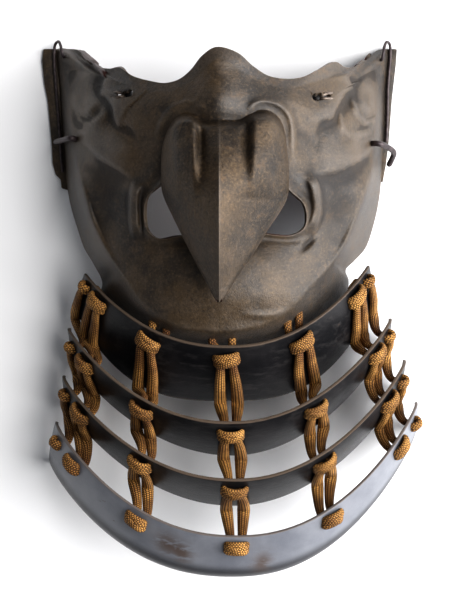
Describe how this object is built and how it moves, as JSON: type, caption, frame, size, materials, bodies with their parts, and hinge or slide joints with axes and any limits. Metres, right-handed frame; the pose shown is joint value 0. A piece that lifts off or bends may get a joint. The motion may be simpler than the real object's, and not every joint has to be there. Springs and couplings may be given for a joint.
{
  "type": "samurai face guard",
  "caption": "Half mask of russet iron with a raised crow's beak over the nose, and a throat guard of curved black-lacquered lames hung from the jaw on braided cord lacing.",
  "frame": {"origin": "the point on the table under the middle of the whole guard's box, as it lies on its back", "axes": "+X is the mask's left-right axis, +Y points to the mask's upper edge and away from the throat guard, +Z is forward, away from the wearer's face and up from the table"},
  "size_m": [0.1962, 0.268, 0.1169],
  "materials": {
    "russet_iron": "russet-lacquered hammered iron, mottled, semi-matte",
    "beak_iron": "russet-lacquered iron, browner and more grainy than the mask",
    "black_lacquer": "black lacquer on iron, soft gloss, worn brown at the edges",
    "lacing_braid": "flat golden-brown silk braid",
    "dark_iron": "dark purple-brown patinated iron"
  },
  "bodies": {
    "root": {"mask_shell": "russet_iron", "beak": "beak_iron", "lame_1": "black_lacquer", "lame_2": "black_lacquer", "lame_3": "black_lacquer", "lame_4": "black_lacquer", "lacing_a": "lacing_braid", "lacing_b": "lacing_braid", "lacing_c": "lacing_braid", "lacing_d": "lacing_braid", "lacing_e": "lacing_braid", "guard_rod_left": "dark_iron", "guard_rod_right": "dark_iron", "cord_peg_left": "dark_iron", "cord_peg_right": "dark_iron", "slot_pin_left": "dark_iron", "slot_pin_right": "dark_iron"}
  },
  "joints": []
}
